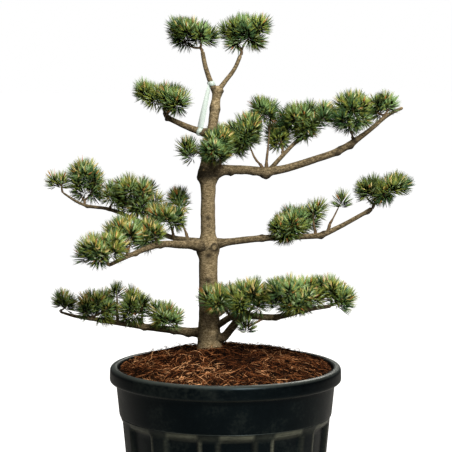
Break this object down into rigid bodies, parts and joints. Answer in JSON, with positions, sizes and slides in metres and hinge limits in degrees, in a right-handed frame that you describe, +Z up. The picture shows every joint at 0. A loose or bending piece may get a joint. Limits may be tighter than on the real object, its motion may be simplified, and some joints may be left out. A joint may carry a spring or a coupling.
{
  "type": "potted negishi japanese white pine",
  "caption": "Small pine trained into layered needle pads on one straight trunk, in a wide ribbed plastic nursery pot filled with bark mulch.",
  "frame": {"origin": "middle of the pot's flat underside", "axes": "+Z up along the pot's axis, -Y towards the side shown in the picture, +X to the viewer's right"},
  "size_m": [0.9125, 0.56, 1.2766],
  "materials": {
    "bark": "rough grey-brown bark",
    "needles": "blue-green needles",
    "pot": "charcoal, satin",
    "mulch": "shredded red-brown bark",
    "tape": "pale translucent tape"
  },
  "bodies": {
    "root": {"trunk": "bark", "leader_left": "bark", "leader_right": "bark", "bough_upper_left": "bark", "bough_upper_right": "bark", "limb_upper_right_inner": "bark", "bough_mid_left_back": "bark", "bough_mid_left_front": "bark", "bough_mid_right": "bark", "bough_low_left": "bark", "bough_low_right": "bark", "bough_low_right_fork": "bark", "bough_low_back": "bark", "bough_high_back": "bark", "limb_mid_right_back": "bark", "pot": "pot", "root_ball": "mulch", "training_tape": "tape", "pad_top_left": "needles", "pad_top_right": "needles", "pad_upper_left": "needles", "pad_upper_front": "needles", "pad_crown_front": "needles", "pad_crown_inner": "needles", "pad_crown_sprig": "needles", "pad_crown_spire": "needles", "pad_right_inner": "needles", "pad_right_middle": "needles", "pad_right_tip": "needles", "pad_crown_back": "needles", "pad_back_tip": "needles", "pad_back_outer": "needles", "pad_back_small": "needles", "pad_back_inner": "needles", "pad_back_sprig": "needles", "pad_back_low": "needles", "pad_front_tip": "needles", "pad_front_outer": "needles", "pad_front_inner": "needles", "pad_mid_right_inner": "needles", "pad_mid_right_upper": "needles", "pad_mid_right_sprig": "needles", "pad_mid_right_tip": "needles", "pad_mid_right_back": "needles", "pad_low_left_tip": "needles", "pad_low_left_outer": "needles", "pad_low_left_spire": "needles", "pad_low_left_middle": "needles", "pad_low_left_inner": "needles", "pad_low_right_inner": "needles", "pad_low_right_middle": "needles", "pad_low_right_outer": "needles", "pad_low_right_tip": "needles", "pad_low_right_sprig": "needles", "pad_low_back": "needles", "pad_crown_middle": "needles"}
  },
  "joints": []
}
